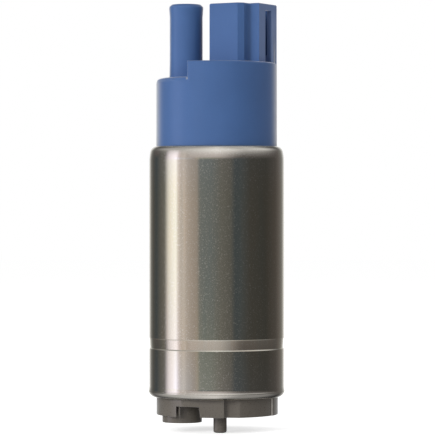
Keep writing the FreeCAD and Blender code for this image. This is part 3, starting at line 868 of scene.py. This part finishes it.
class FUELPUMP_OT_springs(bpy.types.Operator):
    """Coil the brush springs and the valve spring"""

    bl_idname = "fuelpump.springs"
    bl_label = "Springs"

    def execute(self, context):
        pump = context.scene.fuel_pump
        sizes = pump.springs
        wound = bare_metal("spring_wire", pump.colours.bright_steel, roughness=0.24, stains=0.2)
        brush = (sizes.brush_wire, sizes.brush_turns)
        valve = (sizes.valve_wire, sizes.valve_turns)
        for node, joint, (wire, turns) in (
                ("brush_spring_front", "front_brush_slide", brush),
                ("brush_spring_rear", "rear_brush_slide", brush),
                ("outlet_valve_spring", "outlet_valve_lift", valve)):
            low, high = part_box(node)
            middle = (low + high) / 2
            bm = coiled((high.x - low.x - wire) / 2, wire, turns, low.z, high.z)
            bmesh.ops.translate(bm, vec=(middle.x, middle.y, 0), verts=bm.verts)
            spring = finished(bm, node + "_coil", "pump_body", [wound], "spring_steel", node)
            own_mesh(spring)
        return {"FINISHED"}


class FUELPUMP_OT_fittings(bpy.types.Operator):
    """Give the blades and the outlet valve their finishes"""

    bl_idname = "fuelpump.fittings"
    bl_label = "Blades and valve"

    def execute(self, context):
        colours = context.scene.fuel_pump.colours
        brass = bare_metal("tinned_brass", colours.tin, roughness=0.28, stretch=ROLLED_MARKS)
        dress(brass, "terminal_front", "terminal_rear")
        natural = moulded_plastic("natural_plastic", colours.natural, roughness=0.4)
        dress(natural, "outlet_valve_poppet", "outlet_valve_retainer")
        return {"FINISHED"}


# The stage

# Tones of the cards that the metal mirrors, and of the glow above and below them
PLAIN = (1.0, 1.0, 1.0)
ROSY = (1.08, 0.99, 1.0)
COOL = (0.86, 1.0, 1.15)
SLATE = (0.8, 1.0, 1.22)
SKYLIT = (1.0, 1.0, 1.07)
BLACK = (0.0, 0.0, 0.0)

# Strength of the cards' light, by which the brightnesses below are divided
CARD_STRENGTH = 2.0

# The ring of cards, by bearing in degrees from the camera: (bearing, brightness, tone)
CARD_STOPS = (
    (-165, 1.0, PLAIN), (-150, 0.26, PLAIN), (-138, 0.11, PLAIN), (-124, 0.09, SLATE), (-110, 0.16, PLAIN),
    (-99, 0.21, PLAIN), (-90, 1.12, PLAIN), (-84, 1.38, PLAIN), (-73, 1.7, PLAIN), (-69, 0.98, ROSY),
    (-63, 0.68, ROSY), (-57, 0.78, ROSY), (-53, 0.6, ROSY), (-44, 0.48, ROSY), (-33, 0.4, ROSY),
    (-29, 0.245, COOL), (-10, 0.22, COOL), (8, 0.18, PLAIN), (24, 0.145, PLAIN), (31, 0.095, SLATE),
    (42, 0.1, COOL), (60, 0.072, PLAIN), (92, 0.062, PLAIN), (120, 0.096, ROSY), (133, 0.16, ROSY),
    (147, 0.26, PLAIN), (160, 0.7, PLAIN), (168, 1.0, PLAIN),
)

# The glow above and below the ring, in the same form
GLOW_STOPS = (
    (-150, 0.12, SKYLIT), (-100, 0.64, SKYLIT), (-70, 0.66, SKYLIT), (-28, 1.0, SKYLIT), (0, 1.24, SKYLIT),
    (28, 1.0, SKYLIT), (52, 0.74, SKYLIT), (80, 0.84, SKYLIT), (105, 0.84, SKYLIT), (145, 0.12, SKYLIT),
)

# Tints of the ring's upper and lower edges: in front, at the bright strip, and between the two
CREAM = (1.42, 1.36, 1.08)
LILAC = (1.04, 0.98, 1.14)
PALE_BLUE = (1.05, 1.18, 1.34)

# The soft light just above and below the ring, and its level away from the front
BESIDE = (0.34, 0.315, 0.33)
BESIDE_LEAST = 0.2

# How much of the glow is taken away overhead and underfoot
OVERHEAD_DIM = 0.2
UNDERFOOT_DIM = 0.62

# Facets round the cards and the floor, and the floor's gap below the pump
STAGE_FACETS = 64
FLOOR_GAP = 0.02 * MM

# The camera's sensor in millimetres, and the nearest that it sees
SENSOR = 36.0
NEAR = 0.01


def round_ramp(finish, around, rows):
    """The tones of rows of (bearing, brightness, tone), all the way round."""
    stops = [
        (bearing / 360 + 0.5, [level / CARD_STRENGTH * part for part in tone])
        for bearing, level, tone in rows]
    return finish.node("ShaderNodeValToRGB", {"stops": stops}, {0: around})


def card_material(centre, radius):
    """The cards: a ring at eye level that is white behind the pump, and a glow above and below it."""
    finish = Finish(bpy.data.materials.new("cards"), "ShaderNodeEmission")
    x, y, z = finish.parts()
    bearing = x.bearing(y * -1.0)
    around = bearing / 360 + 0.5
    rise = abs(z - centre) / radius

    ring = round_ramp(finish, around, CARD_STOPS)
    front = rise.between(0.055, 0.07) * bearing.within(-38, -30, -12, 16)
    strip = rise.between(0.015, 0.07) * bearing.within(-104, -94, -72, -62)
    gap = rise.within(0.066, 0.08, 0.1, 0.125) * bearing.within(-82, -72, -46, -38)
    for share, tint in ((front, CREAM), (strip, LILAC), (gap, PALE_BLUE)):
        ring = finish.blend(share, ring, tint, "MULTIPLY")
    ahead = bearing.within(-62, -46, -5, 48)
    beside = finish.shaded(BESIDE, ahead * (1 - BESIDE_LEAST) + BESIDE_LEAST)
    lit = finish.blend(rise.between(0.07, 0.17), ring, beside, "LIGHTEN")

    glow = round_ramp(finish, around, GLOW_STOPS)
    overhead = (z - centre).between(0.5 * radius, radius)
    underfoot = (centre - z).between(0, 0.1 * radius) * bearing.between(-90, 120)
    glow = finish.blend(overhead * OVERHEAD_DIM, glow, BLACK)
    glow = finish.blend(underfoot * UNDERFOOT_DIM, glow, BLACK)
    finish.set(Color=finish.blend(rise.between(0.14, 0.5), lit, glow), Strength=CARD_STRENGTH)
    return finish.owner


def floor_material(tone, glow):
    """A pale floor that shows white where nothing shades it, and that is clear from below."""
    finish = Finish(bpy.data.materials.new("pale_floor"), "ShaderNodeMixShader")
    matt = finish.node("ShaderNodeBsdfDiffuse", inputs={"Color": tone})
    glowing = finish.node("ShaderNodeEmission", inputs={"Strength": finish.seen() * glow})
    sides = (
        finish.node("ShaderNodeNewGeometry", output="Backfacing"),
        finish.node("ShaderNodeAddShader", inputs={0: matt, 1: glowing}),
        finish.node("ShaderNodeBsdfTransparent"))
    for socket, value in zip(finish.shader.inputs, sides):
        finish.feed(socket, value)
    return finish.owner


def studio_world(sky):
    """A world that is white to see and in mirrors, and a plain level of light otherwise."""
    finish = Finish(bpy.data.worlds.new("studio"), "ShaderNodeBackground", "ShaderNodeOutputWorld")
    level = finish.node("ShaderNodeMapRange", inputs={"Value": finish.seen(), "To Min": sky})
    finish.set(Color=PLAIN, Strength=level)
    return finish.owner


def stage_piece(bm, name, material):
    """Make a mesh into a piece of the stage."""
    mesh = bpy.data.meshes.new(name)
    bm.to_mesh(mesh)
    bm.free()
    mesh.materials.append(material)
    piece = bpy.data.objects.new(name, mesh)
    bpy.context.scene.collection.objects.link(piece)
    return piece


class FUELPUMP_OT_stage(bpy.types.Operator):
    """Set up the floor, the cards, the world, the lamps and the camera"""

    bl_idname = "fuelpump.stage"
    bl_label = "Stage"

    def execute(self, context):
        stage = context.scene.fuel_pump.stage
        self.make_floor(stage)
        self.make_cards(stage)
        context.scene.world = studio_world(stage.sky)
        self.make_lamp("key_lamp", stage.key_watts, stage.key_width, stage.key_place)
        x, y, z = stage.rim_place
        for side in (-1, 1):
            self.make_lamp("rim_lamp", stage.rim_watts, stage.rim_width, (x * side, y, z))
        self.make_camera(stage)
        context.scene.view_settings.view_transform = "Standard"
        return {"FINISHED"}

    def make_floor(self, stage):
        """Lay a round floor under the pump, and keep it out of the mirroring of its metal."""
        bm = bmesh.new()
        bmesh.ops.create_circle(bm, cap_ends=True, radius=stage.floor_radius, segments=STAGE_FACETS)
        bmesh.ops.translate(bm, vec=(0, 0, cad_box[0].z - FLOOR_GAP), verts=bm.verts)
        floor = stage_piece(bm, "floor", floor_material(stage.floor_tone, stage.floor_glow))
        floor.visible_glossy = False

    def make_cards(self, stage):
        """Put the cards round the pump as a ball that only its shiny surfaces see."""
        bm = bmesh.new()
        bmesh.ops.create_uvsphere(
            bm, u_segments=STAGE_FACETS, v_segments=STAGE_FACETS // 2, radius=stage.card_radius)
        bmesh.ops.translate(bm, vec=(0, 0, stage.card_centre), verts=bm.verts)
        cards = stage_piece(bm, "cards", card_material(stage.card_centre, stage.card_radius))
        cards.visible_camera = False
        cards.visible_diffuse = False
        cards.visible_shadow = False
        cards.visible_transmission = False

    def make_lamp(self, name, watts, width, where):
        """Hang a round lamp that looks at the pump's middle and doesn't show in its metal."""
        lamp = bpy.data.lights.new(name, "AREA")
        lamp.shape = "DISK"
        lamp.size = width
        lamp.energy = watts
        lit = bpy.data.objects.new(name, lamp)
        lit.location = where
        aim = Vector((0, 0, cad_box[1].z / 2)) - lit.location
        lit.rotation_euler = aim.to_track_quat("-Z", "Y").to_euler()
        lit.visible_glossy = False
        bpy.context.scene.collection.objects.link(lit)

    def make_camera(self, stage):
        """Stand a level camera in front of the pump."""
        camera = bpy.data.cameras.new("camera")
        camera.lens = stage.lens
        camera.sensor_width = SENSOR
        camera.clip_start = NEAR
        viewer = bpy.data.objects.new("camera", camera)
        viewer.location = (stage.camera_side, -stage.camera_reach, stage.camera_height)
        viewer.rotation_euler = (math.radians(90), 0, 0)
        bpy.context.scene.collection.objects.link(viewer)
        bpy.context.scene.camera = viewer


BUILD_STEPS = (
    FUELPUMP_OT_shell,
    FUELPUMP_OT_outlet_cap,
    FUELPUMP_OT_inlet_cover,
    FUELPUMP_OT_rotor,
    FUELPUMP_OT_motor,
    FUELPUMP_OT_springs,
    FUELPUMP_OT_fittings,
    FUELPUMP_OT_stage,
)


class FUELPUMP_PT_panel(bpy.types.Panel):
    """Lists the fuel pump's pieces and settings"""

    bl_idname = "FUELPUMP_PT_panel"
    bl_label = "Fuel Pump"
    bl_space_type = "VIEW_3D"
    bl_region_type = "UI"
    bl_category = "Fuel Pump"

    def draw(self, context):
        pump = context.scene.fuel_pump
        for step in BUILD_STEPS:
            self.layout.operator(step.bl_idname)
        for group in (pump.shell, pump.covers, pump.springs, pump.colours, pump.stage):
            box = self.layout.box()
            for name in group.__annotations__:
                box.prop(group, name)


CLASSES = (
    ShellSizes, CoverSizes, SpringSizes, FinishColours, StageSizes, FuelPumpSettings,
    *BUILD_STEPS, FUELPUMP_PT_panel,
)


def register():
    for cls in CLASSES:
        bpy.utils.register_class(cls)
    bpy.types.Scene.fuel_pump = bpy.props.PointerProperty(type=FuelPumpSettings)


def unregister():
    del bpy.types.Scene.fuel_pump
    for cls in reversed(CLASSES):
        bpy.utils.unregister_class(cls)


def main():
    register()
    for step in BUILD_STEPS:
        group, name = step.bl_idname.split(".")
        getattr(getattr(bpy.ops, group), name)()


if __name__ == "__main__":
    main()
